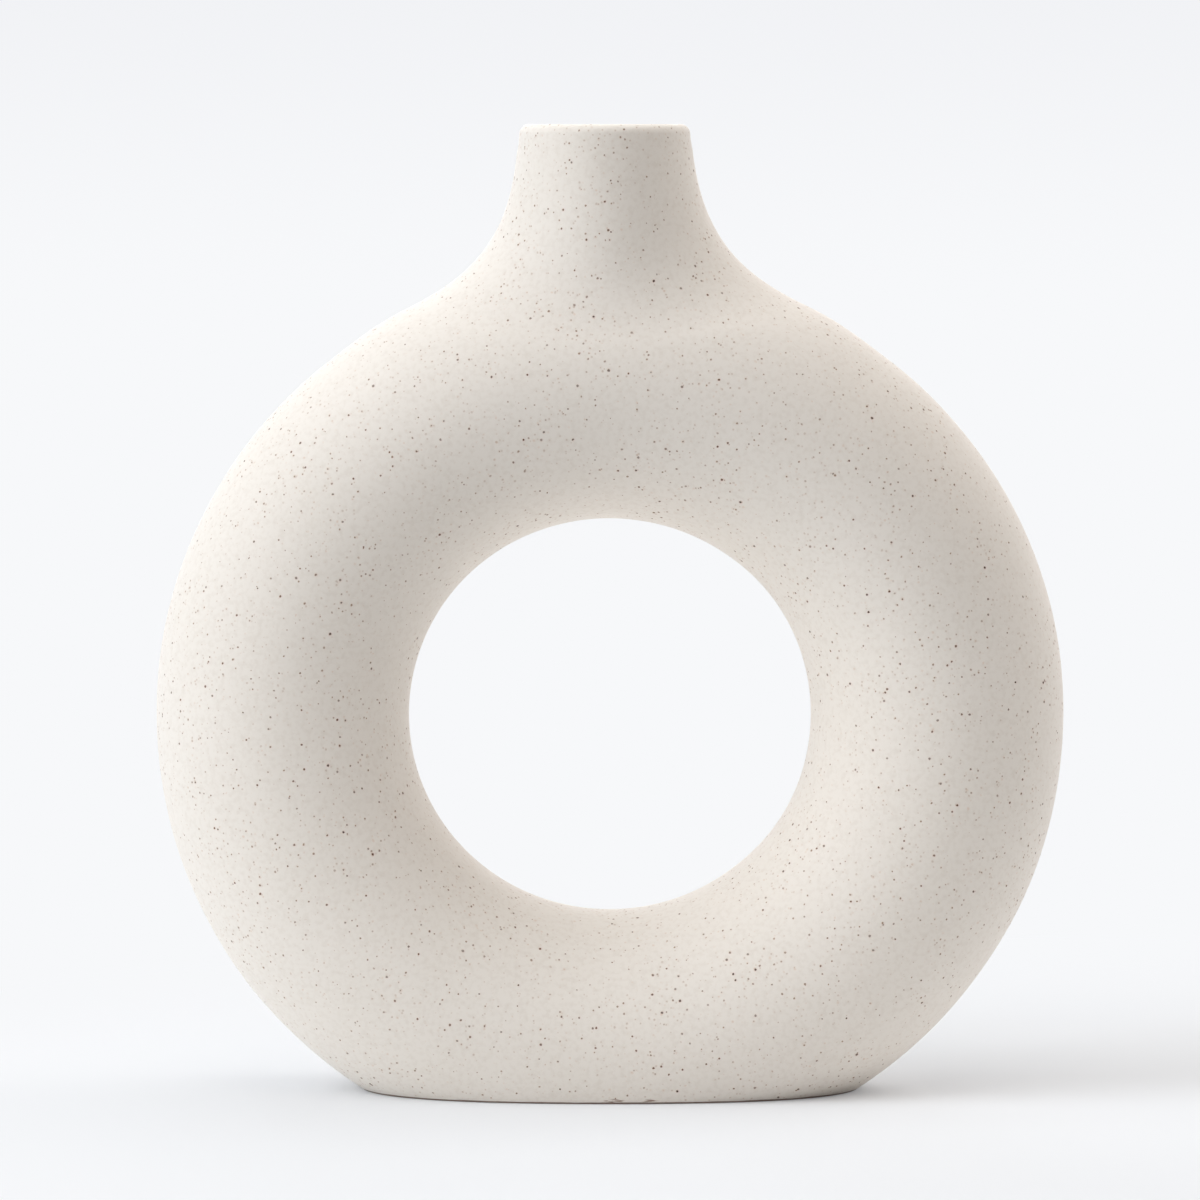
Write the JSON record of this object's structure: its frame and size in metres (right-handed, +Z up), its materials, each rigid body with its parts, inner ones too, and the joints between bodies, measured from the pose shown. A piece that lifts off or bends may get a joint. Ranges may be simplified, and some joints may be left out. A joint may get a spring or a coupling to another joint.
{
  "type": "donut vase",
  "caption": "Free-standing ring vase in speckled matt stoneware: hollow oval ring with a round hole, flared neck with a soft lip, flat foot, glazed inside to hold water and stems.",
  "frame": {"origin": "on the table, under the middle of the vase's box", "axes": "+Z up, +X across the ring to the right seen from the front, the ring's hole runs along Y and the front faces -Y"},
  "size_m": [0.2, 0.0556, 0.2128],
  "materials": {
    "stoneware": "matt off-white stoneware with fine brown iron speckle",
    "lining_glaze": "glossy clear-white glaze"
  },
  "bodies": {
    "root": {"front_shell": "stoneware", "rear_shell": "stoneware", "neck_collar": "stoneware", "foot_base": "stoneware", "glaze_lining": "lining_glaze"}
  },
  "joints": []
}
